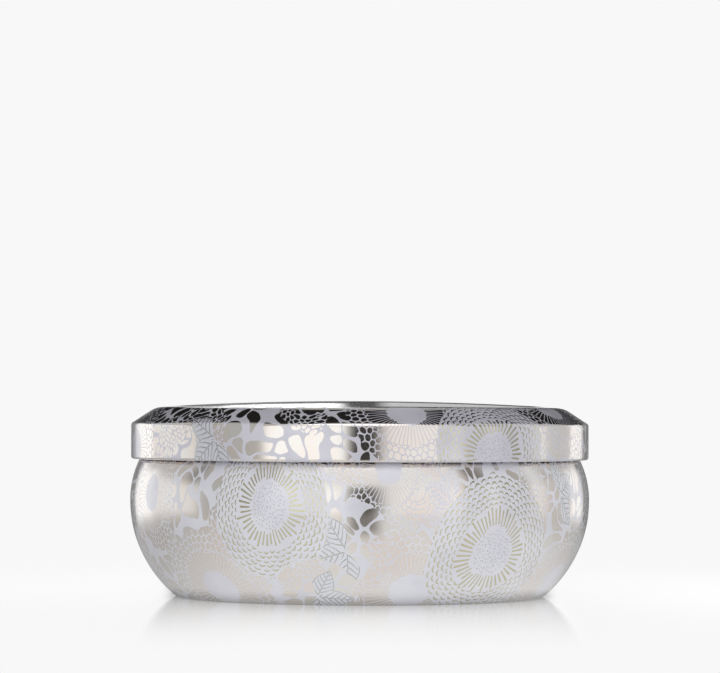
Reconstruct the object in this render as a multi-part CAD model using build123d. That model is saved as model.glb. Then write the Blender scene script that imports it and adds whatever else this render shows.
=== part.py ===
from build123d import *
import math
import os

# Three-wick candle in a round bulged tin with a lift-off domed lid.
#
# The tin is two pieces of drawn tinplate.  The body is a shallow bowl with a
# bulged wall, a recessed base panel on a foot ring, a narrower neck and a rolled
# rim.  The lid is a domed cap whose skirt covers the neck and ends in a rolled
# hem.  The body holds a poured wax fill with three upright wicks; each wick is a
# braided cotton sleeve over a stiffening core, crimped into a steel sustainer
# that is stuck to the base panel.
#
# Frame: millimetres, +Z up, origin at the centre of the circle that the foot
# ring rests on.  The tin is a body of revolution about Z.

# --- driving dimensions, in millimetres and degrees ---------------------------
SHEET = 0.28  # tinplate thickness

# tin body, measured on its outer skin
BULGE_RADIUS = 69.7  # the widest circle of the wall
BULGE_HEIGHT = 29.2  # its height above the foot
LOWER_WALL_ARC = 37.8  # section radius of the wall below the bulge
UPPER_WALL_ARC = 28.0  # section radius of the wall above the bulge
FOOT_CORNER = 1.3  # outer radius between foot ring and wall
PANEL_RADIUS = 50.0  # flat part of the recessed base panel
PANEL_RECESS = 1.2  # height of the panel's underside above the foot
PANEL_STEP_ARC = 1.0  # bend radius on each side of the step, at mid-sheet
PANEL_STEP_ANGLE = 40.0
NECK_RADIUS = 65.6  # outer radius of the straight neck
NECK_HOLLOW = 3.0  # section radius between the wall and the neck, at mid-sheet
RIM_CURL = 0.83  # mid-sheet radius of the rolled rim
CURL_TURN = 285.0  # how far the rim and the hem are rolled round

# lid, measured on its outer skin
LID_RADIUS = 69.5
LID_HEIGHT = 59.0  # top of the dome above the foot
DOME_RADIUS = 60.2  # where the dome meets the shoulder
DOME_SLOPE = 3.4  # slope of the dome's edge
SHOULDER_ARC = 7.0
SHOULDER_SLOPE = 33.0
LID_CORNER_ARC = 1.4
HEM_HEIGHT = 41.4  # underside of the hem above the foot
HEM_CURL = 0.70  # mid-sheet radius of the rolled hem
LID_SEAT_GAP = 0.05  # left between the shoulder and the rim that it rests on

# wax fill
WAX_LEVEL = 29.0
WALL_MENISCUS = 0.7  # how far the wax climbs the wall
WALL_MENISCUS_WIDTH = 2.4
WICK_MENISCUS = 0.6
WICK_MENISCUS_WIDTH = 1.6

# wicks and what holds them
WICK_COUNT = 3
WICK_CIRCLE = 29.0  # radius of the circle that the wicks stand on
WICK_FIRST_ANGLE = 90.0
WICK_RADIUS = 1.35
CORE_RADIUS = 0.45
WICK_STAND_OUT = 6.5  # wick left standing above the wax
SUSTAINER_RADIUS = 10.0
SUSTAINER_SHEET = 0.3
SUSTAINER_NECK_HEIGHT = 5.0
SUSTAINER_FILLET = 0.6
ADHESIVE_RADIUS = 8.0
ADHESIVE_THICKNESS = 0.5

# plain round label in the base recess
LABEL_RADIUS = 38.0
LABEL_THICKNESS = 0.12

HALF = SHEET / 2
PANEL_INSIDE = PANEL_RECESS + SHEET  # inner face of the base panel
NODE_FOLDER = "parts"


def polar(radius, angle):
    """A point on a circle about the section's own origin, angle in degrees."""
    turn = math.radians(angle)
    return Vector(radius * math.cos(turn), radius * math.sin(turn))


class SheetPath:
    """The mid-line of a formed sheet in the section plane, X outward and Y up.

    Each stretch leaves the last one without a corner.
    """

    def __init__(self, start, heading):
        self.point = Vector(*start)
        self.heading = heading
        self.edges = []

    def straight(self, length):
        end = self.point + polar(length, self.heading)
        self.edges.append(Line(self.point, end))
        self.point = end

    def bend(self, radius, turn):
        """turn is in degrees, positive to the left."""
        self.edges.append(JernArc(self.point, polar(1, self.heading), radius, turn))
        self.point = self.edges[-1] @ 1
        self.heading += turn

    def strip(self, thickness):
        """The closed section face of the sheet, square at its cut ends."""
        sides = []
        for edge in self.edges:
            ends = []
            for at in (0, 1):
                along = edge % at
                across = Vector(-along.Y, along.X) * (thickness / 2)
                ends.append((edge @ at + across, edge @ at - across))
            middle_along = edge % 0.5
            across = Vector(-middle_along.Y, middle_along.X) * (thickness / 2)
            middles = (edge @ 0.5 + across, edge @ 0.5 - across)
            sides.append((ends, middles, isinstance(edge, Line)))
        outline = []
        for side in (0, 1):
            for ends, middles, is_straight in sides:
                first, last = ends[0][side], ends[1][side]
                if is_straight:
                    outline.append(Line(first, last))
                else:
                    outline.append(ThreePointArc(first, middles[side], last))
        first_cut, last_cut = sides[0][0][0], sides[-1][0][1]
        outline.append(Line(*first_cut))
        outline.append(Line(*last_cut))
        return closed_face(outline)


def closed_face(curves):
    """The face inside curves that follow each other round a closed outline."""
    edges = [edge for curve in curves for edge in curve.edges()]
    return make_face(Wire(edges))


def spin(face):
    """Turns a section drawn with X outward and Y up through a full circle about Z."""
    return revolve(Plane.XZ * face, Axis.Z)


def wall_angles():
    """Section angles, in degrees: where the foot corner meets the lower wall, and
    where the upper wall meets the neck's hollow."""
    lower = LOWER_WALL_ARC - HALF
    foot = FOOT_CORNER - HALF
    foot_drop = BULGE_HEIGHT - HALF - foot
    foot_angle = math.degrees(math.asin(foot_drop / (lower - foot)))
    upper = UPPER_WALL_ARC - HALF
    centre = BULGE_RADIUS - UPPER_WALL_ARC
    reach = NECK_RADIUS - HALF + NECK_HOLLOW - centre
    neck_angle = math.degrees(math.acos(reach / (upper + NECK_HOLLOW)))
    return foot_angle, neck_angle


def foot_edge_radius():
    """Radius at which the flat foot ring ends and its outer corner begins."""
    foot_angle, _ = wall_angles()
    lower = LOWER_WALL_ARC - FOOT_CORNER
    centre = BULGE_RADIUS - LOWER_WALL_ARC
    return centre + lower * math.cos(math.radians(foot_angle))


def rim_centre_height():
    """Height of the rolled rim's centre, so that the closed lid just clears it."""
    slope = math.radians(SHOULDER_SLOPE)
    corner_drop = LID_CORNER_ARC * (1 - math.sin(slope))
    across = LID_RADIUS - corner_drop - rim_centre_radius()
    shoulder = shoulder_foot_height() + across * math.tan(slope)
    stand_off = SHEET + LID_SEAT_GAP + RIM_CURL + HALF
    return shoulder - stand_off / math.cos(slope)


def rim_centre_radius():
    return NECK_RADIUS - HALF + RIM_CURL


def shoulder_foot_height():
    """Height of the lid's outer skin where its straight shoulder meets the corner."""
    slope, edge = math.radians(SHOULDER_SLOPE), math.radians(DOME_SLOPE)
    dome_drop = DOME_RADIUS * math.tan(edge / 2)
    arc_drop = SHOULDER_ARC * (math.cos(edge) - math.cos(slope))
    return LID_HEIGHT - dome_drop - arc_drop - shoulder_run() * math.sin(slope)


def shoulder_run():
    """Length of the lid's straight shoulder."""
    slope, edge = math.radians(SHOULDER_SLOPE), math.radians(DOME_SLOPE)
    arc_reach = SHOULDER_ARC * (math.sin(slope) - math.sin(edge))
    corner_reach = LID_CORNER_ARC * (1 - math.sin(slope))
    return (LID_RADIUS - DOME_RADIUS - arc_reach - corner_reach) / math.cos(slope)


def tin_body():
    """Base panel, step, foot ring, bulged wall, hollow, neck and rolled rim."""
    foot_angle, neck_angle = wall_angles()
    path = SheetPath((0, PANEL_RECESS + HALF), 0)
    path.straight(PANEL_RADIUS)
    path.bend(PANEL_STEP_ARC, -PANEL_STEP_ANGLE)
    step = math.radians(PANEL_STEP_ANGLE)
    drop_in_bends = 2 * PANEL_STEP_ARC * (1 - math.cos(step))
    path.straight((PANEL_RECESS - drop_in_bends) / math.sin(step))
    path.bend(PANEL_STEP_ARC, PANEL_STEP_ANGLE)
    path.straight(foot_edge_radius() - path.point.X)
    path.bend(FOOT_CORNER - HALF, 90 - foot_angle)
    path.bend(LOWER_WALL_ARC - HALF, foot_angle)
    path.bend(UPPER_WALL_ARC - HALF, neck_angle)
    path.bend(NECK_HOLLOW, -neck_angle)
    path.straight(rim_centre_height() - path.point.Y)
    path.bend(RIM_CURL, -CURL_TURN)
    return spin(path.strip(SHEET))


def tin_lid():
    """Dome, shoulder, corner, skirt and rolled hem."""
    edge = math.radians(DOME_SLOPE)
    path = SheetPath((0, LID_HEIGHT - HALF), 0)
    path.bend(DOME_RADIUS / math.sin(edge) - HALF, -DOME_SLOPE)
    path.bend(SHOULDER_ARC - HALF, DOME_SLOPE - SHOULDER_SLOPE)
    path.straight(shoulder_run())
    path.bend(LID_CORNER_ARC - HALF, SHOULDER_SLOPE - 90)
    path.straight(path.point.Y - HEM_HEIGHT - HALF - HEM_CURL)
    path.bend(HEM_CURL, -CURL_TURN)
    return spin(path.strip(SHEET))


def wick_places():
    """The wicks' centres, evenly spaced on their circle."""
    for index in range(WICK_COUNT):
        angle = WICK_FIRST_ANGLE + index * 360 / WICK_COUNT
        centre = polar(WICK_CIRCLE, angle)
        yield index + 1, Pos(centre.X, centre.Y, 0)


def upright(radius, bottom, top):
    """A plain cylinder about Z between two heights."""
    cylinder = Cylinder(radius, top - bottom, align=(Align.CENTER, Align.CENTER, Align.MIN))
    return Pos(0, 0, bottom) * cylinder


def sustainer_floor():
    return PANEL_INSIDE + ADHESIVE_THICKNESS


def wick_top():
    return WAX_LEVEL + WICK_STAND_OUT


def wick():
    """The braided sleeve, trimmed square."""
    sleeve = upright(WICK_RADIUS, sustainer_floor(), wick_top())
    return sleeve - wick_core()


def wick_core():
    return upright(CORE_RADIUS, sustainer_floor(), wick_top())


def sustainer():
    """A stamped disc with a neck that is crimped round the foot of the wick."""
    floor = sustainer_floor()
    top = floor + SUSTAINER_SHEET
    neck_radius = WICK_RADIUS + SUSTAINER_SHEET
    neck_top = top + SUSTAINER_NECK_HEIGHT
    root = neck_radius + SUSTAINER_FILLET
    flare = JernArc((neck_radius, top + SUSTAINER_FILLET), (0, -1), SUSTAINER_FILLET, 90)
    outline = [
        Polyline(
            (root, top),
            (SUSTAINER_RADIUS, top),
            (SUSTAINER_RADIUS, floor),
            (WICK_RADIUS, floor),
            (WICK_RADIUS, neck_top),
            (neck_radius, neck_top),
            (neck_radius, top + SUSTAINER_FILLET),
        ),
        flare,
    ]
    return spin(closed_face(outline))


def adhesive():
    """The round pad that sticks a sustainer to the base panel."""
    return upright(ADHESIVE_RADIUS, PANEL_INSIDE, sustainer_floor())


def hollow_section():
    """Section of the space inside the bowl up to the wax, with the wax's meniscus."""
    foot_angle, _ = wall_angles()
    lower_centre = Vector(BULGE_RADIUS - LOWER_WALL_ARC, BULGE_HEIGHT)
    upper_centre = Vector(BULGE_RADIUS - UPPER_WALL_ARC, BULGE_HEIGHT)
    lower = LOWER_WALL_ARC - SHEET
    upper = UPPER_WALL_ARC - SHEET
    foot = FOOT_CORNER - SHEET
    step = math.radians(PANEL_STEP_ANGLE)
    outer_bend = PANEL_STEP_ARC + HALF
    inner_bend = PANEL_STEP_ARC - HALF
    step_top = Vector(PANEL_RADIUS, PANEL_INSIDE)
    shoulder = step_top + Vector(
        outer_bend * math.sin(step), -outer_bend * (1 - math.cos(step))
    )
    slant_rise = PANEL_RECESS - 2 * PANEL_STEP_ARC * (1 - math.cos(step))
    step_foot = shoulder + Vector(slant_rise / math.tan(step), -slant_rise)
    trough = step_foot + Vector(
        inner_bend * math.sin(step), -inner_bend * (1 - math.cos(step))
    )
    foot_end = Vector(foot_edge_radius(), SHEET)
    foot_centre = foot_end + Vector(0, foot)
    bulge = Vector(BULGE_RADIUS - SHEET, BULGE_HEIGHT)
    climb = WAX_LEVEL + WALL_MENISCUS
    climb_angle = math.degrees(math.asin((climb - BULGE_HEIGHT) / upper))
    edge = upper_centre + polar(upper, climb_angle)
    inner = Vector(edge.X - WALL_MENISCUS_WIDTH, WAX_LEVEL)
    meniscus = SagittaArc(edge, inner, WALL_MENISCUS / 3)
    return [
        Line((0, WAX_LEVEL), (0, PANEL_INSIDE)),
        Line((0, PANEL_INSIDE), step_top),
        ThreePointArc(
            step_top,
            step_top + Vector(0, -outer_bend) + polar(outer_bend, 90 - PANEL_STEP_ANGLE / 2),
            shoulder,
        ),
        Line(shoulder, step_foot),
        ThreePointArc(
            step_foot,
            trough + Vector(0, inner_bend) + polar(inner_bend, -90 - PANEL_STEP_ANGLE / 2),
            trough,
        ),
        Line(trough, foot_end),
        ThreePointArc(
            foot_end,
            foot_centre + polar(foot, -90 + (90 - foot_angle) / 2),
            lower_centre + polar(lower, -foot_angle),
        ),
        ThreePointArc(
            lower_centre + polar(lower, -foot_angle),
            lower_centre + polar(lower, -foot_angle / 2),
            bulge,
        ),
        ThreePointArc(bulge, upper_centre + polar(upper, climb_angle / 2), edge),
        meniscus,
        Line(inner, (0, WAX_LEVEL)),
    ]


def wick_meniscus():
    """The small cone of wax drawn up round a wick, reaching down into the fill."""
    root = WICK_RADIUS + WICK_MENISCUS_WIDTH
    below = WAX_LEVEL - WICK_MENISCUS_WIDTH
    crest = Vector(WICK_RADIUS, WAX_LEVEL + WICK_MENISCUS)
    skirt = Vector(root, WAX_LEVEL)
    outline = [
        Polyline(skirt, (root, below), (0, below), (0, crest.Y), crest),
        SagittaArc(crest, skirt, -WICK_MENISCUS / 3),
    ]
    return spin(closed_face(outline))


def wax_fill():
    """The poured wax, cut out round everything that stands in it."""
    wax = spin(closed_face(hollow_section()))
    for _, place in wick_places():
        wax += place * wick_meniscus()
    for _, place in wick_places():
        stem = upright(WICK_RADIUS, sustainer_floor(), wick_top())
        wax -= place * (stem + sustainer() + adhesive())
    return wax


def base_label():
    """A plain paper disc stuck under the base panel."""
    return upright(LABEL_RADIUS, PANEL_RECESS - LABEL_THICKNESS, PANEL_RECESS)


def build_nodes():
    """Every node's name and shape."""
    yield "tin_body", tin_body()
    yield "tin_lid", tin_lid()
    yield "wax_fill", wax_fill()
    yield "base_label", base_label()
    for number, place in wick_places():
        yield f"wick_{number}", place * wick()
        yield f"wick_core_{number}", place * wick_core()
        yield f"wick_sustainer_{number}", place * sustainer()
        yield f"sustainer_adhesive_{number}", place * adhesive()


def main():
    os.makedirs(NODE_FOLDER, exist_ok=True)
    for name, shape in build_nodes():
        export_step(shape, f"{NODE_FOLDER}/{name}.step")
        print(name, round(shape.volume, 1), "mm3")


main()
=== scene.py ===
import math

import bmesh
import bpy
import numpy as np
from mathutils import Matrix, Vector, noise


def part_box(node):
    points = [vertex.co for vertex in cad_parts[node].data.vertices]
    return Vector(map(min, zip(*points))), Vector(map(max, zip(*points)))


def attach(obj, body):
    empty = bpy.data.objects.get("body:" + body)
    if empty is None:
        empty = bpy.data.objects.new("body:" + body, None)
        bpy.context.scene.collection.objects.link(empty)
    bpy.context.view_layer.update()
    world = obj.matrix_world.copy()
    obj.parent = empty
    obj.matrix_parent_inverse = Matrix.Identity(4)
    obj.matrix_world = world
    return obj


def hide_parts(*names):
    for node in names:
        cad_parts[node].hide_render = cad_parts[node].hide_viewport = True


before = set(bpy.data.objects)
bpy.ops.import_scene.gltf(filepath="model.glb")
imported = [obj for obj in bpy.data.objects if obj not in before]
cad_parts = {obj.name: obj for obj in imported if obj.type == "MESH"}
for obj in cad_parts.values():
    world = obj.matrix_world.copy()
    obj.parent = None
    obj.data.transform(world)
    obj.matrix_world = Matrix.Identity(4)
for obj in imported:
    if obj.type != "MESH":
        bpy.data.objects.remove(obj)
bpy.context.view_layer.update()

# A three-wick candle in a bulged tin with a lift-off lid.  Lengths are in metres and
# angles in degrees.  The printed sheet's layout is in millimetres, as a printer's is.

MM = 0.001

# --- sizes that shape the tin's section; the rest is read from the frame --------
SHEET = 0.28 * MM
HALF = SHEET / 2
LOWER_WALL_ARC = 37.8 * MM
UPPER_WALL_ARC = 28.0 * MM
BULGE_HEIGHT = 29.2 * MM
FOOT_CORNER = 1.3 * MM
PANEL_RADIUS = 50.0 * MM
PANEL_RECESS = 1.2 * MM
PANEL_STEP_ARC = 1.0 * MM
PANEL_STEP_ANGLE = 40.0
NECK_RADIUS = 65.6 * MM
NECK_HOLLOW = 3.0 * MM
RIM_CURL = 0.83 * MM
DOME_RADIUS = 60.2 * MM
DOME_SLOPE = 3.4
SHOULDER_ARC = 7.0 * MM
SHOULDER_SLOPE = 33.0
LID_CORNER_ARC = 1.4 * MM
HEM_CURL = 0.70 * MM
CURL_TURN = 285.0

LATHE_STEPS = 360
ARC_STEP = 0.5 * MM  # wanted chord along a curved stretch of a section
MOST_CHORDS = 50
CURL_STEP = 16.0  # degrees between points round a rolled edge

bulge_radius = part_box("tin_body")[1].x
rim_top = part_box("tin_body")[1].z
lid_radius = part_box("tin_lid")[1].x
lid_bottom, lid_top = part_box("tin_lid")[0].z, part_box("tin_lid")[1].z


# --- section of a formed sheet ---------------------------------------------------
class SheetPath:
    """The mid-line of a formed sheet, as points with a heading and a distance run."""

    def __init__(self, radius, height, heading):
        self.stops = [(radius, height, heading, 0.0)]

    def straight(self, length, pieces=1):
        radius, height, heading, run = self.stops[-1]
        turn = math.radians(heading)
        for part in np.linspace(0, length, pieces + 1)[1:]:
            self.stops.append((
                radius + part * math.cos(turn),
                height + part * math.sin(turn),
                heading,
                run + part,
            ))

    def bend(self, arc_radius, turn):
        """turn is in degrees, positive to the left."""
        radius, height, heading, run = self.stops[-1]
        side = math.copysign(1, turn)
        start = math.radians(heading - 90 * side)
        centre = (radius - arc_radius * math.cos(start), height - arc_radius * math.sin(start))
        length = arc_radius * math.radians(abs(turn))
        pieces = max(min(math.ceil(length / ARC_STEP), MOST_CHORDS), math.ceil(abs(turn) / CURL_STEP))
        for part in np.linspace(0, 1, pieces + 1)[1:]:
            angle = start + math.radians(turn * part)
            self.stops.append((
                centre[0] + arc_radius * math.cos(angle),
                centre[1] + arc_radius * math.sin(angle),
                heading + turn * part,
                run + length * part,
            ))

    def skin(self, side):
        """Radius, height and run of one face of the sheet: side is 1 left, -1 right."""
        stops = np.array(self.stops)
        turn = np.radians(stops[:, 2] + 90 * side)
        radius = np.maximum(stops[:, 0] + HALF * np.cos(turn), 0)
        radius[0] = 0
        return np.column_stack([radius, stops[:, 1] + HALF * np.sin(turn), stops[:, 3]])


def body_path():
    """Base panel, step, foot ring, bulged wall, hollow, neck and rolled rim."""
    lower, foot = LOWER_WALL_ARC - FOOT_CORNER, FOOT_CORNER - HALF
    foot_angle = math.degrees(math.asin((BULGE_HEIGHT - HALF - foot) / lower))
    upper_centre = bulge_radius - UPPER_WALL_ARC
    upper = UPPER_WALL_ARC - HALF
    reach = NECK_RADIUS - HALF + NECK_HOLLOW - upper_centre
    neck_angle = math.degrees(math.acos(reach / (upper + NECK_HOLLOW)))
    foot_edge = bulge_radius - LOWER_WALL_ARC + lower * math.cos(math.radians(foot_angle))
    step = math.radians(PANEL_STEP_ANGLE)
    drop_in_bends = 2 * PANEL_STEP_ARC * (1 - math.cos(step))
    path = SheetPath(0, PANEL_RECESS + HALF, 0)
    path.straight(PANEL_RADIUS, 12)
    path.bend(PANEL_STEP_ARC, -PANEL_STEP_ANGLE)
    path.straight((PANEL_RECESS - drop_in_bends) / math.sin(step))
    path.bend(PANEL_STEP_ARC, PANEL_STEP_ANGLE)
    path.straight(foot_edge - path.stops[-1][0])
    wall_starts = len(path.stops) - 1
    path.bend(foot, 90 - foot_angle)
    path.bend(LOWER_WALL_ARC - HALF, foot_angle)
    path.bend(upper, neck_angle)
    path.bend(NECK_HOLLOW, -neck_angle)
    rim_centre = rim_top - RIM_CURL - HALF
    path.straight(rim_centre - path.stops[-1][1], 4)
    path.bend(RIM_CURL, -CURL_TURN)
    return path, wall_starts


def lid_path():
    """Dome, shoulder, corner, skirt and rolled hem."""
    edge, slope = math.radians(DOME_SLOPE), math.radians(SHOULDER_SLOPE)
    arc_reach = SHOULDER_ARC * (math.sin(slope) - math.sin(edge))
    corner_reach = LID_CORNER_ARC * (1 - math.sin(slope))
    shoulder_run = (lid_radius - DOME_RADIUS - arc_reach - corner_reach) / math.cos(slope)
    path = SheetPath(0, lid_top - HALF, 0)
    path.bend(DOME_RADIUS / math.sin(edge) - HALF, -DOME_SLOPE)
    path.bend(SHOULDER_ARC - HALF, DOME_SLOPE - SHOULDER_SLOPE)
    path.straight(shoulder_run, 4)
    path.bend(LID_CORNER_ARC - HALF, SHOULDER_SLOPE - 90)
    path.straight(path.stops[-1][1] - lid_bottom - HALF - HEM_CURL, 8)
    path.bend(HEM_CURL, -CURL_TURN)
    return path


def lathe(name, first_skin, second_skin, kinds):
    """A closed shell spun from a sheet's two skins.  kinds gives a material index for
    each strip of the first skin; the second skin and the cut edge take index 1."""
    outline = np.vstack([first_skin[1:], second_skin[:0:-1]])
    strip_kinds = np.concatenate([kinds[1:], np.ones(len(second_skin) - 1, int)])
    angles = np.arange(LATHE_STEPS) * 2 * math.pi / LATHE_STEPS
    around = np.column_stack([np.cos(angles), np.sin(angles)])
    rings = outline[:, None, 0, None] * around[None]
    heights = np.broadcast_to(outline[:, None, 1, None], rings.shape[:2] + (1,))
    vertices = np.concatenate([rings, heights], axis=2).reshape(-1, 3)
    poles = [(0, 0, first_skin[0, 1]), (0, 0, second_skin[0, 1])]
    layout = outline[:, None, 2, None] * around[None]
    layout = np.vstack([layout.reshape(-1, 2), np.zeros((2, 2))])
    faces, indices = [], []
    count = len(outline)
    for row in range(count - 1):
        for step in range(LATHE_STEPS):
            beside = (step + 1) % LATHE_STEPS
            here, there = row * LATHE_STEPS, (row + 1) * LATHE_STEPS
            faces.append((here + step, there + step, there + beside, here + beside))
            indices.append(strip_kinds[row])
    last = (count - 1) * LATHE_STEPS
    first_pole = count * LATHE_STEPS
    for step in range(LATHE_STEPS):
        beside = (step + 1) % LATHE_STEPS
        faces.append((first_pole, step, beside))
        faces.append((last + beside, last + step, first_pole + 1))
        indices += [int(kinds[0]), 1]
    mesh = bpy.data.meshes.new(name)
    mesh.from_pydata(np.vstack([vertices, poles]).tolist(), [], faces)
    mesh.polygons.foreach_set("material_index", np.array(indices, np.int32))
    blank = mesh.uv_layers.new(name="blank")
    corner = np.zeros(len(mesh.loops), np.int32)
    mesh.loops.foreach_get("vertex_index", corner)
    blank.uv.foreach_set("vector", (layout[corner] / BLANK_SPAN + 0.5).astype(np.float32).ravel())
    return finished(mesh)


def finished(mesh):
    """Turns a mesh's faces outward, smooths its shading and makes an object of it."""
    work = bmesh.new()
    work.from_mesh(mesh)
    bmesh.ops.recalc_face_normals(work, faces=work.faces)
    work.to_mesh(mesh)
    work.free()
    mesh.shade_smooth()
    mesh.set_sharp_from_angle(angle=math.radians(50))
    piece = bpy.data.objects.new(mesh.name, mesh)
    bpy.context.scene.collection.objects.link(piece)
    return piece


# --- shader node helpers ---------------------------------------------------------
class Field:
    """A number or vector that varies over a surface: one output of a shader node."""

    def __init__(self, tree, socket):
        self.tree = tree
        self.socket = socket

    def __add__(self, other):
        return self.tree.math("ADD", self, other)

    def __radd__(self, other):
        return self.tree.math("ADD", other, self)

    def __sub__(self, other):
        return self.tree.math("SUBTRACT", self, other)

    def __rsub__(self, other):
        return self.tree.math("SUBTRACT", other, self)

    def __mul__(self, other):
        return self.tree.math("MULTIPLY", self, other)

    def __rmul__(self, other):
        return self.tree.math("MULTIPLY", other, self)

    def __truediv__(self, other):
        return self.tree.math("DIVIDE", self, other)

    def __lt__(self, other):
        return self.tree.math("LESS_THAN", self, other)

    def __gt__(self, other):
        return self.tree.math("GREATER_THAN", self, other)

    def __abs__(self):
        return self.tree.math("ABSOLUTE", self)

    def floor(self):
        return self.tree.math("FLOOR", self)

    def fraction(self):
        return self.tree.math("FRACT", self)

    def cosine(self):
        return self.tree.math("COSINE", self)

    def sine(self):
        return self.tree.math("SINE", self)

    def squared(self):
        return self.tree.math("MULTIPLY", self, self)

    def over(self, edge, soft):
        """0 below edge and 1 above it, with a blend of width soft."""
        return self.tree.ramp(self, edge - soft / 2, edge + soft / 2)

    def under(self, edge, soft):
        """1 below edge and 0 above it, with a blend of width soft."""
        return self.tree.ramp(self, edge + soft / 2, edge - soft / 2)


class Tree:
    """Adds nodes to a material's or world's node tree."""

    def __init__(self, owner):
        owner.use_nodes = True
        self.nodes = owner.node_tree.nodes
        self.links = owner.node_tree.links
        self.nodes.clear()

    def feed(self, socket, value):
        if isinstance(value, Field):
            self.links.new(value.socket, socket)
        elif isinstance(value, bpy.types.NodeSocket):
            self.links.new(value, socket)
        else:
            socket.default_value = value

    def add(self, kind, settings=None, inputs=None):
        node = self.nodes.new("ShaderNode" + kind)
        for name, value in (settings or {}).items():
            setattr(node, name, value)
        for name, value in (inputs or {}).items():
            self.feed(node.inputs[name], value)
        return node

    def field(self, kind, output, settings=None, inputs=None):
        return Field(self, self.add(kind, settings, inputs).outputs[output])

    def math(self, operation, *values):
        return self.field("Math", 0, {"operation": operation}, dict(enumerate(values)))

    def vector(self, operation, *values, output=0):
        return self.field("VectorMath", output, {"operation": operation}, dict(enumerate(values)))

    def ramp(self, value, low, high, to_low=0.0, to_high=1.0):
        settings = {"interpolation_type": "SMOOTHSTEP"}
        inputs = {"Value": value, "From Min": low, "From Max": high, "To Min": to_low, "To Max": to_high}
        return self.field("MapRange", "Result", settings, inputs)

    def mix(self, share, first, second):
        """A number between two numbers."""
        return self.field("Mix", 0, {"data_type": "FLOAT"}, {0: share, 2: first, 3: second})

    def mix_vector(self, share, first, second):
        return self.field("Mix", 1, {"data_type": "VECTOR"}, {0: share, 4: first, 5: second})

    def mix_colour(self, share, first, second, blend="MIX"):
        inputs = {0: share, 6: first, 7: second}
        return self.field("Mix", 2, {"data_type": "RGBA", "blend_type": blend}, inputs)

    def parts(self, vector):
        node = self.add("SeparateXYZ", None, {0: vector})
        return [Field(self, output) for output in node.outputs]

    def noise(self, vector, scale, detail=2.0, roughness=0.5):
        inputs = {"Vector": vector, "Scale": scale, "Detail": detail, "Roughness": roughness}
        return self.field("TexNoise", 0, None, inputs)

    def cells(self, vector, scale, feature="F1", output="Distance", randomness=1.0):
        settings = {"voronoi_dimensions": "2D", "feature": feature}
        inputs = {"Vector": vector, "Scale": scale, "Randomness": randomness}
        return self.field("TexVoronoi", output, settings, inputs)

    def chance(self, *values):
        """A random number from 0 to 1 for each different set of numbers."""
        joined = self.add("CombineXYZ", None, dict(enumerate(values)))
        return self.field("TexWhiteNoise", "Value", {"noise_dimensions": "3D"}, {"Vector": joined.outputs[0]})

    def surface(self, settings):
        shader = self.add("BsdfPrincipled", None, settings)
        output = self.add("OutputMaterial", None, {"Surface": shader.outputs[0]})
        return output

    def bump(self, height, distance, strength=1.0):
        inputs = {"Height": height, "Distance": distance, "Strength": strength}
        return self.field("Bump", 0, None, inputs)


# --- the print -------------------------------------------------------------------
# The sheet is printed flat and then drawn, so the print is laid out on the flat blank:
# distance run along the sheet from its centre, and the angle about the axis.

BLANK_SPAN = 0.24  # width of the square that the blank's layout fills

ROSETTE = 19.5  # outer radius of a rosette as drawn, in millimetres
GOLD_DISC = 5.8  # radius of a gold rosette's stippled middle
GOLD, BARE, MINT_LEAF, BARE_LEAF = 1, 2, 3, 4

CHAMPAGNE = (0.84, 0.78, 0.72, 1)
ROSE = (0.84, 0.75, 0.69, 1)
SILVER = (0.84, 0.81, 0.77, 1)
GOLD_TINT = (0.60, 0.57, 0.38, 1)
MINT_TINT = (0.47, 0.51, 0.46, 1)
STIPPLE = (0.30, 0.30, 0.30, 1)

# kind, distance from the blank's centre, angle from the front, size, turn; later ones
# are printed over earlier ones
BODY_MOTIFS = [
    (BARE, 62, -42, 1.00, 0.1),
    (BARE, 92, -62, 0.85, 0.3),
    (BARE, 62, 14, 1.00, 0.2),
    (BARE, 64, 68, 0.95, 0.5),
    (BARE, 101, 7, 0.90, 0.9),
    (BARE, 92, 86, 0.90, 0.6),
    (BARE, 66, 118, 1.00, 0.3),
    (BARE, 90, 152, 1.00, 0.8),
    (BARE, 62, 196, 0.95, 0.1),
    (BARE, 92, 236, 0.90, 0.5),
    (MINT_LEAF, 72, -76, 0.80, 0.55),
    (MINT_LEAF, 76, -3, 0.80, 0.36),
    (BARE_LEAF, 90, 22, 0.70, 0.15),
    (MINT_LEAF, 92, 58, 0.80, 0.70),
    (MINT_LEAF, 70, 152, 0.80, 0.20),
    (BARE_LEAF, 74, 218, 0.80, 0.60),
    (GOLD, 89, -22, 1.16, 0.4),
    (GOLD, 75, 35, 1.20, 0.7),
    (GOLD, 86, 112, 1.12, 0.2),
    (GOLD, 78, 178, 1.16, 0.6),
    (GOLD, 72, 250, 1.16, 0.9),
    (MINT_LEAF, 60, -12, 0.70, 0.80),
]
LID_MOTIFS = [
    (BARE, 22, 150, 0.90, 0.2),
    (BARE, 65, 12, 0.90, 0.7),
    (BARE, 62, 62, 0.95, 0.2),
    (BARE, 64, 140, 1.00, 0.4),
    (BARE, 56, 228, 0.95, 0.5),
    (BARE, 78, -74, 0.90, 0.5),
    (MINT_LEAF, 75, -37, 0.80, 0.30),
    (BARE_LEAF, 40, -20, 0.90, 0.30),
    (MINT_LEAF, 44, 100, 0.90, 0.60),
    (MINT_LEAF, 72, 178, 0.90, 0.90),
    (GOLD, 80, 34, 1.10, 0.6),
    (GOLD, 42, 50, 1.10, 0.1),
    (GOLD, 40, -72, 1.10, 0.8),
    (GOLD, 42, 188, 1.10, 0.3),
    (GOLD, 76, 104, 1.10, 0.5),
    (GOLD, 78, 262, 1.10, 0.2),
    (BARE, 4, 20, 0.80, 0.5),
]


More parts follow.
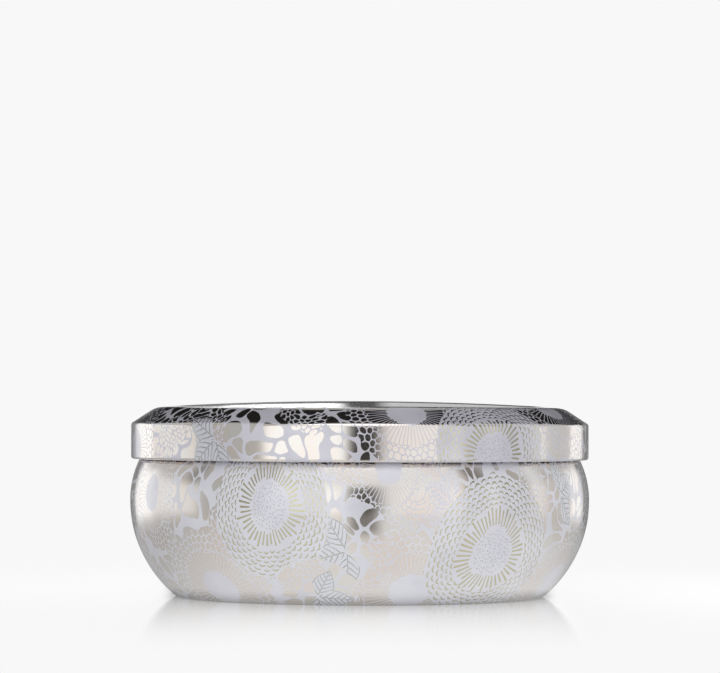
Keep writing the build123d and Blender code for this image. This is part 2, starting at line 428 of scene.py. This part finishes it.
def blank_position(tree):
    """Place on the flat blank, in millimetres."""
    layout = tree.field("UVMap", 0, {"uv_map": "blank"})
    centred = tree.vector("SUBTRACT", layout, (0.5, 0.5, 0))
    return tree.vector("MULTIPLY", centred, (BLANK_SPAN / MM, BLANK_SPAN / MM, 0))


def nearest_motif(tree, place, motifs):
    """The topmost motif's own coordinates in X and Y, and its kind and turn in Z."""
    sway = tree.field("TexNoise", "Color", {"noise_dimensions": "2D"}, {"Vector": place, "Scale": 0.35})
    wavy = tree.vector("MULTIPLY_ADD", sway, (2.2, 2.2, 0), place)
    wavy = tree.vector("ADD", wavy, (-1.1, -1.1, 0))
    chosen = tree.vector("MULTIPLY", place, (0, 0, 0))
    for kind, run, angle, size, turn in motifs:
        bearing = math.radians(angle - 90)
        x, y = run * math.cos(bearing), run * math.sin(bearing)
        own = tree.vector("MULTIPLY_ADD", place, (1 / size, 1 / size, 0), (-x / size, -y / size, kind + turn))
        away = tree.vector("DISTANCE", wavy, (x, y, 0), output="Value")
        chosen = tree.mix_vector(away < ROSETTE * size, chosen, own)
    return chosen


def gold_rosette(tree, reach, turns, seed):
    """Strokes of a rosette: rays round a plain disc, then rings of small scales."""
    disc, rays_end, ring_pitch = GOLD_DISC, 11.9, 1.26
    rays, scales = 46, 40
    sway = tree.math("SINE", turns * (6 * math.pi) + seed * 6) * 0.35
    reach = reach + sway
    ray = turns * rays
    luck = tree.chance(ray.floor(), seed, 1.0)
    across = abs(ray.fraction() - 0.5) * reach * (2 * math.pi / rays)
    starts = disc + 0.4 + luck * 0.9
    ends = rays_end - 0.2 - tree.chance(ray.floor(), seed, 5.0) * 2.0
    width = tree.ramp(reach, disc, rays_end, 0.15, 0.25) + luck * 0.06
    in_ray = (width - across).over(0, 0.1) * (reach - starts).over(0, 0.3) * (ends - reach).over(0, 0.3)
    luck = tree.chance((turns * scales).floor(), seed, 3.0)
    ring = (reach - rays_end + 0.35 + luck * 0.5) / ring_pitch
    scale = turns * scales + ring.floor() * 0.5
    beside = (scale.fraction() - 0.5) * 2
    crown = 0.66 - beside.squared() * 0.55
    luck = tree.chance(scale.floor(), ring.floor(), seed)
    thick = 0.13 - beside.squared() * 0.10 + luck * 0.07
    off = abs(ring.fraction() - crown)
    in_scale = (thick - off).over(0, 0.08) * (0.62 + luck * 0.25 - abs(beside)).over(0, 0.1)
    return in_ray + in_scale * (ring > 0.0)


def bare_rosette(tree, reach, turns, seed, place):
    """Metal left bare: fine petals round a plain disc, then rings of small round cells."""
    disc, petals_end, petals = 5.8, 12.6, 52
    cells_round, cell_height = 42, 2.35
    petal = turns * petals
    beside = abs(petal.fraction() - 0.5)
    across = beside * reach * (2 * math.pi / petals)
    half_pitch = reach * (math.pi / petals)
    luck = tree.chance(petal.floor(), seed, 2.0)
    ends = petals_end + luck * 1.2 - (beside * 2).squared() * 0.8
    in_petal = (half_pitch - 0.14 - across).over(0, 0.10) * (reach - disc - 0.3 - luck * 0.6).over(0, 0.3)
    in_petal = in_petal * (ends - reach).over(0, 0.25)
    sway_across, sway_up = sways(tree, place, 0.22, 0.7)
    rings = (reach - petals_end - 1.5) / cell_height
    in_comb = honeycomb(tree, turns * cells_round + sway_across, rings + 0.5 + sway_up, 0.075, 0.08)
    return in_petal + in_comb * (reach - ends - 0.35).over(0, 0.2)


def leaf_spray(tree, reach, turns, turn, bold):
    """Three broad leaves from one point: their area, and their outlines and veins.
    bold is 1 where the lines are thick."""
    sectors, shown, length, width, vein_pitch = 5, 3, 16.0, 4.9, 2.5
    round_turn = (turns + turn).fraction() * sectors
    sector = round_turn.fraction() - 0.5
    angle = sector * (2 * math.pi / sectors)
    along = reach * angle.cosine()
    beside = abs(reach * angle.sine())
    bow = tree.math("POWER", tree.math("MAXIMUM", along / length, 0.0), 0.85) * math.pi
    edge = bow.sine() * width
    in_leaf = (edge - beside).over(0, 0.2) * (along < length) * (round_turn < float(shown))
    outline = (0.16 + bold * 0.06 - abs(edge - 0.35 - beside)).over(0, 0.1) * (along > 1.0)
    midrib = (0.23 + bold * 0.07 - along * 0.006 - beside).over(0, 0.1) * (along > 1.2) * (along < length - 1.2)
    luck = tree.chance(round_turn.floor(), turn, 4.0)
    stagger = (sector > 0.0) * 0.42
    vein = abs(((along - beside * 0.62 - beside.squared() * 0.09) / vein_pitch + luck + stagger).fraction() - 0.5)
    thick = 0.135 + bold * 0.03 - beside / tree.math("MAXIMUM", edge, 0.5) * 0.065
    side_vein = (thick - vein).over(0, 0.05) * (beside > 0.38) * (edge * 0.84 - beside).over(0, 0.3)
    lines = tree.math("MAXIMUM", tree.math("MAXIMUM", midrib, side_vein), outline)
    return in_leaf, lines * in_leaf


def pebbles(tree, place, scale, randomness, soft):
    """Round-cornered cells about 1 / scale millimetres across, with a border between."""
    first = tree.cells(place, scale, "F1", randomness=randomness)
    second = tree.cells(place, scale, "F2", randomness=randomness)
    return (second - first - first.squared() * 0.95).over(0.02, soft)


def sways(tree, place, scale, amount):
    """Two slowly varying numbers that bend a regular pattern as a hand would draw it."""
    sway = tree.field("TexNoise", "Color", {"noise_dimensions": "2D"}, {"Vector": place, "Scale": scale})
    return [(part - 0.5) * amount for part in tree.parts(sway)[:2]]


def honeycomb(tree, across, up, border, soft):
    """Six-sided cells with rounded corners, one unit wide and staggered row by row."""
    row_pair = math.sqrt(3)
    offsets = []
    for shift in (0.0, 0.5):
        beside = (across + shift).fraction() - 0.5
        above = ((up / row_pair + shift).fraction() - 0.5) * row_pair
        offsets.append((beside, above, tree.math("SQRT", beside.squared() + above.squared())))
    nearer = offsets[0][2] < offsets[1][2]
    beside, above, away = [tree.mix(nearer, second, first) for first, second in zip(*offsets)]
    slanted = abs(beside) * 0.5 + abs(above) * (row_pair / 2)
    to_side = tree.math("MAXIMUM", abs(beside), slanted)
    return (0.5 - border - to_side * 0.4 - away * 0.6).over(0, soft)


def cell_net(tree, place):
    """Metal left bare as pebble-like cells, large in most places and small in some."""
    settings = {"noise_dimensions": "2D"}
    sway = tree.field("TexNoise", "Color", settings, {"Vector": place, "Scale": 0.10, "Detail": 0.0})
    bent = tree.vector("MULTIPLY_ADD", sway, (9, 9, 0), place)
    large = pebbles(tree, bent, 0.165, 0.80, 0.05)
    x, y, z = tree.parts(bent)
    sway_across, sway_up = sways(tree, place, 0.3, 0.9)
    small = honeycomb(tree, x / 2.4 + sway_across, y / 2.4 + sway_up, 0.085, 0.08)
    patch = tree.noise(place, 0.055, 0.0)
    return tree.mix(patch.over(0.58, 0.02), large, small)


def printed_tin(name, motifs, ink, pale_ink, ink_lustre, metal_roughness):
    """Printed and varnished tinplate: pearly ink over metal that shows in the gaps."""
    material = bpy.data.materials.new(name)
    tree = Tree(material)
    place = blank_position(tree)
    motif = nearest_motif(tree, place, motifs)
    x, y, code = tree.parts(motif)
    kind, seed = code.floor(), code.fraction()
    reach = tree.math("SQRT", x.squared() + y.squared())
    turns = tree.math("ARCTAN2", y, x) / (2 * math.pi) + 0.5
    is_kind = {k: tree.math("COMPARE", kind, float(k), 0.1) for k in (GOLD, BARE, MINT_LEAF, BARE_LEAF)}
    gold = gold_rosette(tree, reach, turns, seed)
    bare = bare_rosette(tree, reach, turns, seed, place)
    in_leaf, veins = leaf_spray(tree, reach, turns, seed, is_kind[BARE_LEAF])
    cells = cell_net(tree, place)
    leafy = tree.mix(in_leaf, cells, veins)
    metal = tree.mix(is_kind[GOLD], cells, gold)
    metal = tree.mix(is_kind[BARE], metal, bare)
    metal = tree.mix(is_kind[MINT_LEAF] + is_kind[BARE_LEAF], metal, leafy)
    metal = tree.ramp(metal, 0.0, 1.0)

    in_disc = (reach < GOLD_DISC) * is_kind[GOLD]
    dots = tree.cells(place, 0.95, "F1", randomness=0.8).under(0.23, 0.1) * in_disc
    blush = tree.noise(place, 0.028, 1.0)
    metal_tint = tree.mix_colour(blush.over(0.5, 0.25), CHAMPAGNE, ROSE)
    metal_tint = tree.mix_colour(tree.noise(place, 0.09, 2.0).over(0.55, 0.2), metal_tint, SILVER)
    metal_tint = tree.mix_colour(is_kind[GOLD], metal_tint, GOLD_TINT)
    metal_tint = tree.mix_colour(is_kind[MINT_LEAF] * in_leaf, metal_tint, MINT_TINT)
    ink_tone = tree.mix_colour(tree.noise(place, 0.07, 2.0).over(0.5, 0.3), ink, pale_ink)
    ink_tone = tree.mix_colour(dots * 0.45, ink_tone, STIPPLE)
    colour = tree.mix_colour(metal, ink_tone, metal_tint)

    grain = tree.noise(place, 1.4, 3.0)
    roughness = tree.mix(metal, 0.43, metal_roughness) + (grain - 0.5) * 0.06
    tree.surface({
        "Base Color": colour,
        "Metallic": tree.mix(metal, ink_lustre, 1.0),
        "Roughness": roughness,
        "Coat Weight": 1.0,
        "Coat Roughness": 0.05,
        "Coat IOR": 1.7,
        "Normal": tree.bump(1.0 - metal, 0.008 * MM, 0.3),
    })
    return material


def plain_tin(name, tint):
    """Unprinted tinplate with a thin clear lacquer and the faint lines of its rolling."""
    material = bpy.data.materials.new(name)
    tree = Tree(material)
    place = blank_position(tree)
    lines = tree.noise(tree.vector("MULTIPLY", place, (0.25, 9.0, 0)), 1.0, 4.0)
    mottle = tree.noise(place, 0.12, 3.0)
    colour = tree.mix_colour(mottle, tint, tuple(min(1, c * 1.08) for c in tint[:3]) + (1,))
    tree.surface({
        "Base Color": colour,
        "Metallic": 1.0,
        "Roughness": 0.22 + lines * 0.14,
        "Coat Weight": 0.4,
        "Coat Roughness": 0.1,
        "Normal": tree.bump(lines, 0.004 * MM, 0.5),
    })
    return material


def in_millimetres(tree):
    return tree.vector("MULTIPLY", tree.field("TexCoord", "Object"), (1 / MM, 1 / MM, 1 / MM))


def poured_wax():
    """Cream wax: a little see-through, mottled where it set unevenly, with a faint bloom."""
    material = bpy.data.materials.new("wax")
    tree = Tree(material)
    place = in_millimetres(tree)
    mottle = tree.noise(place, 0.07, 3.0, 0.55)
    bloom = tree.noise(place, 0.5, 4.0, 0.65).over(0.62, 0.25)
    colour = tree.mix_colour(mottle.over(0.5, 0.35), (0.87, 0.82, 0.71, 1), (0.91, 0.87, 0.78, 1))
    colour = tree.mix_colour(bloom * 0.5, colour, (0.94, 0.92, 0.86, 1))
    pores = tree.field("TexVoronoi", "Distance", None, {"Vector": place, "Scale": 0.8}).under(0.09, 0.08)
    tree.surface({
        # Painted shade: the pores' small pits are darkened in the base colour.
        "Base Color": tree.mix_colour(pores * 0.4, colour, (0.76, 0.70, 0.58, 1)),
        "Roughness": tree.mix(bloom, 0.36, 0.56) + (mottle - 0.5) * 0.08,
        "Subsurface Weight": 0.6,
        "Subsurface Radius": (1.0, 0.72, 0.45),
        "Subsurface Scale": 3 * MM,
        "Coat Weight": 0.12,
        "Coat Roughness": 0.22,
        "Normal": tree.bump(tree.noise(place, 1.1, 4.0) - pores * 0.5, 0.03 * MM, 0.8),
    })
    return material


def waxed_cotton():
    """Cotton yarn soaked in wax: fine fibres along each strand."""
    material = bpy.data.materials.new("wick_cotton")
    tree = Tree(material)
    place = in_millimetres(tree)
    fibres = tree.noise(tree.vector("MULTIPLY", place, (7.0, 7.0, 2.5)), 1.0, 3.0, 0.6)
    soaked = tree.noise(place, 0.35, 2.0)
    colour = tree.mix_colour(fibres, (0.74, 0.69, 0.57, 1), (0.92, 0.89, 0.81, 1))
    tree.surface({
        "Base Color": tree.mix_colour(soaked.over(0.55, 0.3) * 0.35, colour, (0.80, 0.74, 0.60, 1)),
        "Roughness": 0.84 - soaked * 0.25,
        "Sheen Weight": 0.25,
        "Sheen Roughness": 0.5,
        "Normal": tree.bump(fibres, 0.03 * MM, 0.9),
    })
    return material


def twisted_paper():
    """The wick's core: a strip of unbleached paper twisted into a cord."""
    material = bpy.data.materials.new("wick_core_paper")
    tree = Tree(material)
    place = in_millimetres(tree)
    x, y, z = tree.parts(place)
    twist = tree.math("SINE", (x + y) * 3.0 + z * 4.4)
    fibres = tree.noise(tree.vector("MULTIPLY", place, (6.0, 6.0, 2.0)), 1.0, 4.0, 0.6)
    tree.surface({
        "Base Color": tree.mix_colour(fibres, (0.62, 0.53, 0.38, 1), (0.82, 0.75, 0.60, 1)),
        "Roughness": 0.78 + fibres * 0.12,
        "Normal": tree.bump(twist * 0.6 + fibres, 0.03 * MM, 0.7),
    })
    return material


def stamped_steel():
    """Tin-plated steel strip with rolling lines and a dull, handled surface."""
    material = bpy.data.materials.new("sustainer_steel")
    tree = Tree(material)
    place = in_millimetres(tree)
    lines = tree.noise(tree.vector("MULTIPLY", place, (0.4, 12.0, 6.0)), 1.0, 4.0, 0.6)
    smudge = tree.noise(place, 0.4, 3.0)
    tree.surface({
        "Base Color": tree.mix_colour(smudge, (0.60, 0.60, 0.61, 1), (0.74, 0.74, 0.74, 1)),
        "Metallic": 1.0,
        "Roughness": 0.26 + lines * 0.14 + smudge.over(0.6, 0.3) * 0.12,
        "Normal": tree.bump(lines, 0.006 * MM, 0.6),
    })
    return material


def foam_pad():
    """White acrylic foam tape with small open pores."""
    material = bpy.data.materials.new("adhesive_foam")
    tree = Tree(material)
    place = in_millimetres(tree)
    pores = tree.field("TexVoronoi", "Distance", None, {"Vector": place, "Scale": 4.0}).under(0.3, 0.3)
    tone = tree.noise(place, 0.6, 3.0)
    colour = tree.mix_colour(tone, (0.80, 0.80, 0.77, 1), (0.90, 0.90, 0.88, 1))
    tree.surface({
        # Painted shade: the pores' hollows are darkened in the base colour.
        "Base Color": tree.mix_colour(pores * 0.4, colour, (0.62, 0.62, 0.58, 1)),
        "Roughness": 0.70 + pores * 0.2,
        "Normal": tree.bump(1.0 - pores, 0.05 * MM, 0.8),
    })
    return material


def label_paper():
    """Uncoated white paper, blank apart from a thin grey line near its edge."""
    material = bpy.data.materials.new("label_paper")
    tree = Tree(material)
    place = in_millimetres(tree)
    x, y, z = tree.parts(place)
    radius = tree.math("SQRT", x.squared() + y.squared())
    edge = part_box("base_label")[1].x / MM
    line = (0.2 - abs(radius - (edge - 2.5))).over(0, 0.08)
    fibres = tree.noise(tree.vector("MULTIPLY", place, (1.6, 4.0, 4.0)), 1.0, 5.0, 0.65)
    cloud = tree.noise(place, 0.12, 3.0)
    paper = tree.mix_colour(fibres, (0.84, 0.83, 0.80, 1), (0.91, 0.91, 0.89, 1))
    paper = tree.mix_colour(cloud * 0.25, paper, (0.80, 0.78, 0.73, 1))
    tree.surface({
        "Base Color": tree.mix_colour(line * 0.8, paper, (0.36, 0.36, 0.38, 1)),
        "Roughness": 0.66 + fibres * 0.2,
        "Normal": tree.bump(fibres, 0.012 * MM, 0.7),
    })
    return material


# --- tin and lid -----------------------------------------------------------------
def fitted(piece, body, node, slot, *materials):
    """Gives a piece its materials and puts it in the place of a CAD node."""
    for material in materials:
        piece.data.materials.append(material)
    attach(piece, body)
    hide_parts(node)


BODY_INK = (0.79, 0.785, 0.86, 1), (0.86, 0.86, 0.93, 1)
LID_INK = (0.66, 0.65, 0.73, 1), (0.74, 0.73, 0.81, 1)
printed_body = printed_tin("printed_body_tin", BODY_MOTIFS, *BODY_INK, 0.22, 0.18)
printed_lid = printed_tin("printed_lid_tin", LID_MOTIFS, *LID_INK, 0.20, 0.14)
bare_inside = plain_tin("lacquered_inside_tin", (0.78, 0.75, 0.70, 1))

path, wall_starts = body_path()
outer_wall, inner_wall = path.skin(-1), path.skin(1)
kinds = np.ones(len(outer_wall) - 1, int)
kinds[wall_starts:] = 0
body_shell = lathe("body_shell", outer_wall, inner_wall, kinds)
fitted(body_shell, "tin", "tin_body", "printed_body_tin", printed_body, bare_inside)

path = lid_path()
lid_outside, lid_inside = path.skin(1), path.skin(-1)
lid_shell = lathe("lid_shell", lid_outside, lid_inside, np.zeros(len(lid_outside) - 1, int))
fitted(lid_shell, "lid", "tin_lid", "printed_lid_tin", printed_lid, bare_inside)


# --- wax -------------------------------------------------------------------------
WALL_CLIMB = 0.7 * MM  # how far the wax climbs the wall
WALL_CLIMB_WIDTH = 1.1 * MM
WICK_CLIMB = 0.6 * MM
WICK_CLIMB_WIDTH = 0.9 * MM
WAX_SINK = 0.22 * MM  # how far the open wax sank as it set
WAX_RINGS = 64
WAX_GAP = 0.01 * MM

WICKS = (1, 2, 3)
wax_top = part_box("wax_fill")[1].z
wick_radius = (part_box("wick_1")[1].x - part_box("wick_1")[0].x) / 2


def centre_line(node):
    low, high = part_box(node)
    return (low.x + high.x) / 2, (low.y + high.y) / 2


wick_places = [centre_line(f"wick_{number}") for number in WICKS]


def wax_height(x, y, wall):
    """Height of the set wax: drawn up the wall and the wicks, a little sunk between."""
    radius = math.hypot(x, y)
    height = wax_top - WALL_CLIMB * (1 - math.exp(-(wall - radius) / WALL_CLIMB_WIDTH))
    for wick_x, wick_y in wick_places:
        away = math.hypot(x - wick_x, y - wick_y) - wick_radius
        height += WICK_CLIMB * math.exp(-max(away, 0) / WICK_CLIMB_WIDTH)
    open_share = 1 - (radius / wall) ** 4
    ripple = noise.noise(Vector((x, y, 0)) * 55) + 0.35 * noise.noise(Vector((x, y, 0)) * 190)
    return height - open_share * (WAX_SINK * (0.5 + ripple))


def cut_out(piece, nodes):
    """Takes the room of CAD nodes out of a piece's mesh."""
    for node in nodes:
        work = bmesh.new()
        work.from_mesh(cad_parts[node].data)
        bmesh.ops.remove_doubles(work, verts=work.verts, dist=0.001 * MM)
        bmesh.ops.recalc_face_normals(work, faces=work.faces)
        mesh = bpy.data.meshes.new("tool")
        work.to_mesh(mesh)
        work.free()
        tool = bpy.data.objects.new("tool", mesh)
        bpy.context.scene.collection.objects.link(tool)
        cut = piece.modifiers.new("cut", "BOOLEAN")
        cut.object = tool
        cut.solver = "MANIFOLD"
        bpy.context.view_layer.update()
        result = bpy.data.meshes.new_from_object(piece.evaluated_get(bpy.context.evaluated_depsgraph_get()))
        result.materials.clear()
        piece.modifiers.clear()
        piece.data = result
        bpy.data.objects.remove(tool)


def wax_body():
    """The poured wax, from the base panel up the wall to its own surface."""
    below = inner_wall[inner_wall[:, 1] < wax_top]
    beyond = inner_wall[len(below)]
    share = (wax_top - below[-1, 1]) / (beyond[1] - below[-1, 1])
    wall = np.vstack([below, below[-1] + share * (beyond - below[-1])])
    wall[1:, 0] -= WAX_GAP
    wall[:, 1] += WAX_GAP
    edge, rim = wall[-1, 0], wall[-1, 1]
    radii = edge * (1 - (1 - np.linspace(0, 1, WAX_RINGS)) ** 1.35)
    surface = np.column_stack([radii, np.full(WAX_RINGS, rim), radii])[:-1]
    piece = lathe("wax_body", wall, surface, np.zeros(len(wall) - 1, int))
    for vertex in piece.data.vertices:
        if vertex.co.z > rim - WAX_GAP / 10:
            vertex.co.z = wax_height(vertex.co.x, vertex.co.y, edge)
    kinds_of_tool = "wick", "wick_core", "wick_sustainer", "sustainer_adhesive"
    cut_out(piece, [f"{kind}_{number}" for kind in kinds_of_tool for number in WICKS])
    return piece


fitted(wax_body(), "tin", "wax_fill", "wax", poured_wax())

# --- wicks -----------------------------------------------------------------------
STRANDS = 6  # strands of yarn each way round a wick
BRAID_TURN = 6.4 * MM  # height of one turn of a strand
STRAND_WIDTH = 0.36 * MM  # half of a flattened strand's width
STRAND_DEPTH = 0.26 * MM
STRAND_SIDES = 6
RINGS_PER_TURN = 36


def strand(centre, low, high, phase, way):
    """Rings of points along one strand; way is 1 or -1, and strands of opposite way
    pass over and under each other."""
    mean = wick_radius - STRAND_DEPTH - (wick_radius - STRAND_DEPTH) * 0.13
    swing = (wick_radius - STRAND_DEPTH) * 0.13
    count = round((high - low) / BRAID_TURN * RINGS_PER_TURN)
    rate = 2 * math.pi / BRAID_TURN
    rings = []
    for height in np.linspace(low, high, count):
        run = (height - low) * rate
        angle = phase + way * run
        radius = mean + way * swing * math.cos(STRANDS * run)
        out = np.array([math.cos(angle), math.sin(angle), 0])
        along = np.array([-out[1] * radius * way * rate, out[0] * radius * way * rate, 1.0])
        side = np.cross(along / np.linalg.norm(along), out)
        middle = np.array([centre[0], centre[1], height]) + out * radius
        for corner in range(STRAND_SIDES):
            turn = corner * 2 * math.pi / STRAND_SIDES
            rings.append(middle + out * STRAND_DEPTH * math.sin(turn) + side * STRAND_WIDTH * math.cos(turn))
    return rings


def braided_wick(number):
    """The cotton sleeve of one wick, as strands braided round its core."""
    low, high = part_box(f"wick_{number}")
    centre = wick_places[number - 1]
    points, faces = [], []
    for index in range(STRANDS):
        for way in (1, -1):
            rings = strand(centre, low.z + STRAND_WIDTH, high.z - STRAND_WIDTH, index * 2 * math.pi / STRANDS, way)
            first, count = len(points), len(rings) // STRAND_SIDES
            points += rings
            for ring in range(count - 1):
                base = first + ring * STRAND_SIDES
                for corner in range(STRAND_SIDES):
                    beside = (corner + 1) % STRAND_SIDES
                    lower, upper = base + corner, base + corner + STRAND_SIDES
                    faces.append((lower, base + beside, base + beside + STRAND_SIDES, upper))
            last = first + (count - 1) * STRAND_SIDES
            faces.append(tuple(range(first, first + STRAND_SIDES)))
            faces.append(tuple(range(last, last + STRAND_SIDES)))
    mesh = bpy.data.meshes.new(f"wick_braid_{number}")
    mesh.from_pydata([tuple(point) for point in points], [], faces)
    return finished(mesh)


cotton = waxed_cotton()
for number in WICKS:
    fitted(braided_wick(number), "tin", f"wick_{number}", "wick_cotton", cotton)

# --- CAD nodes that keep their own shape -----------------------------------------
kept = {
    "wick_core": twisted_paper(),
    "wick_sustainer": stamped_steel(),
    "sustainer_adhesive": foam_pad(),
}
for stem, material in kept.items():
    for number in WICKS:
        materials_of_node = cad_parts[f"{stem}_{number}"].data.materials
        materials_of_node.clear()
        materials_of_node.append(material)
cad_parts["base_label"].data.materials.clear()
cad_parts["base_label"].data.materials.append(label_paper())


# --- floor, studio and camera ----------------------------------------------------
WHITE = 0.939  # the plain backdrop's brightness to the camera
FLOOR_FRONT, FLOOR_BACK = 0.77, 0.43  # the light that the floor throws back at the tin
FLOOR_RADIUS = 0.33
SKY_LIGHT = 0.012


def plain_floor():
    """A pale acrylic sheet that mirrors the tin close by, with a painted contact shadow round the tin's foot."""
    material = bpy.data.materials.new("pale_floor")
    tree = Tree(material)
    position = tree.field("NewGeometry", "Position")
    x, y, z = tree.parts(position)
    away = tree.vector("LENGTH", position, output="Value")
    reach = 1.0 - tree.ramp(away, 0.04, 0.32)
    fresnel = tree.field("Fresnel", 0, None, {"IOR": 1.45})
    gloss = tree.add("BsdfGlossy", None, {"Color": (1, 1, 1, 1), "Roughness": 0.10})
    # Painted shade: ambient occlusion near the tin's foot darkens the floor's glow.
    near = tree.add("AmbientOcclusion", {"samples": 8, "only_local": False}, {"Distance": 0.004})
    open_share = Field(tree, near.outputs["AO"]).over(0.35, 0.7)
    thrown = tree.ramp((y - x * 0.32) / away, -1.0, 0.45, FLOOR_FRONT, FLOOR_BACK)
    dim_strip = abs(x / away - 0.03).under(0.09, 0.08) * (y < 0.0) * tree.ramp(away, 0.09, 0.13)
    thrown = thrown * (1.0 - dim_strip * 0.75)
    to_camera = tree.field("LightPath", "Is Camera Ray")
    seen = tree.mix(to_camera, thrown, WHITE)
    # Painted contact shadow: how much the glow darkens where the floor is hidden. It is strong in front of the
    # tin, faint beside and behind it, and middling for rays from the tin.
    painted_contact_shade = tree.mix(to_camera, 0.60, tree.ramp(y / away, -0.85, -0.2, 0.97, 0.35))
    light = tree.add("Emission", None, {"Color": (1, 1, 1, 1), "Strength": seen * (1.0 - painted_contact_shade + open_share * painted_contact_shade)})
    fade = tree.ramp(away, 0.12, FLOOR_RADIUS) * (1.0 - to_camera)
    from_below = tree.field("NewGeometry", "Backfacing")
    clear = tree.add("BsdfTransparent")
    faded = tree.add("MixShader", None, {0: fade, 1: light.outputs[0], 2: clear.outputs[0]})
    share = tree.math("MINIMUM", fresnel.squared().squared() * 2.56, 1.0) * reach * reach
    mixed = tree.add("MixShader", None, {0: share, 1: faded.outputs[0], 2: gloss.outputs[0]})
    one_sided = tree.add("MixShader", None, {0: from_below, 1: mixed.outputs[0], 2: clear.outputs[0]})
    tree.add("OutputMaterial", None, {"Surface": one_sided.outputs[0]})
    mesh = bpy.data.meshes.new("floor")
    angles = np.arange(96) * 2 * math.pi / 96
    rim = np.column_stack([np.cos(angles), np.sin(angles), np.zeros(96)]) * FLOOR_RADIUS
    mesh.from_pydata(rim.tolist(), [], [tuple(range(96))])
    mesh.materials.append(material)
    floor = bpy.data.objects.new("floor", mesh)
    bpy.context.scene.collection.objects.link(floor)


class Studio:
    """The light that falls on the tin, as soft panels on a dark sky."""

    def __init__(self, tree):
        self.tree = tree
        direction = tree.field("TexCoord", "Generated")
        x, y, z = tree.parts(direction)
        self.elevation = tree.math("ARCSINE", z) * (180 / math.pi)
        flat = tree.vector("MULTIPLY", direction, (1, 1, 0))
        self.heading = tree.vector("NORMALIZE", flat)
        self.light = tree.math("ADD", SKY_LIGHT, 0.0)

    def panel(self, level, azimuth, half_width, low, high, soft=6.0, soft_top=10.0):
        """Angles in degrees; azimuth 0 is the front, positive to the right."""
        bearing = math.radians(azimuth)
        toward = (math.sin(bearing), -math.cos(bearing), 0)
        cosine = self.tree.vector("DOT_PRODUCT", self.heading, toward, output="Value")
        outer = math.cos(math.radians(min(half_width + soft / 2, 180)))
        inside = math.cos(math.radians(max(half_width - soft / 2, 0)))
        wide = self.tree.ramp(cosine, outer, inside)
        tall = self.elevation.over(low, soft) * self.elevation.under(high, soft_top)
        self.light = self.light + wide * tall * level


def studio():
    world = bpy.data.worlds.new("studio")
    bpy.context.scene.world = world
    tree = Tree(world)
    light = Studio(tree)
    light.panel(1.12, -27, 21, -20, 20, soft=7)
    light.panel(0.92, 31, 20, -20, 20, soft=10)
    light.panel(0.84, 6, 52, 20, 56, soft=8)
    light.panel(2.40, 0, 36, 50, 70, soft=16)
    light.panel(0.70, 0, 180, 80, 180, soft=6)
    light.panel(0.45, -70, 22, -20, 62, soft=10)
    light.panel(0.56, 61, 12, -20, 20, soft=10)
    light.panel(0.42, 86, 18, -20, 62, soft=14)
    light.panel(0.86, -110, 18, -20, 14, soft=16)
    light.panel(1.15, -140, 11, -20, 14, soft=10)
    light.panel(0.58, 114, 18, -20, 14, soft=12)
    light.panel(1.05, 140, 8, -20, 14, soft=8)
    for side in (-116, 116):
        light.panel(0.50, side, 18, 14, 62, soft=12)
    light.panel(0.45, 180, 11, 30, 54, soft=8)
    for side in (-166, 162):
        light.panel(0.20, side, 12, -20, 10, soft=8)
    light.panel(0.87, -174.8, 2.25, -2.0, 4.6, soft=0.3, soft_top=0.4)
    light.panel(1.06, 174.8, 2.25, -2.0, 4.6, soft=0.3, soft_top=0.4)
    light.panel(1.50, -178.68, 0.98, 4.2, 8.0, soft=0.4, soft_top=0.8)
    light.panel(1.50, -177.90, 1.70, 8.0, 16, soft=0.8, soft_top=0.8)
    light.panel(1.50, -175.95, 3.45, 16, 30, soft=1.0, soft_top=6)
    light.panel(0.55, 178.35, 1.27, 3.0, 6.5, soft=0.4, soft_top=0.8)
    shown = tree.field("LightPath", "Is Camera Ray")
    level = tree.mix(shown, light.light, WHITE)
    background = tree.add("Background", None, {"Color": (1, 1, 1, 1), "Strength": level})
    tree.add("OutputWorld", None, {"Surface": background.outputs[0]})


def camera():
    data = bpy.data.cameras.new("camera")
    data.sensor_width = 36
    data.lens = 182.0
    data.clip_end = 20
    seat = bpy.data.objects.new("camera", data)
    seat.location = (0, -1.108, 0.0571)
    rise = math.atan2(0.0787 - 0.0571, 1.108)
    seat.rotation_euler = (math.pi / 2 + rise, math.radians(-0.2), 0)
    bpy.context.scene.collection.objects.link(seat)
    bpy.context.scene.camera = seat


plain_floor()
studio()
camera()
bpy.context.scene.view_settings.view_transform = "Standard"
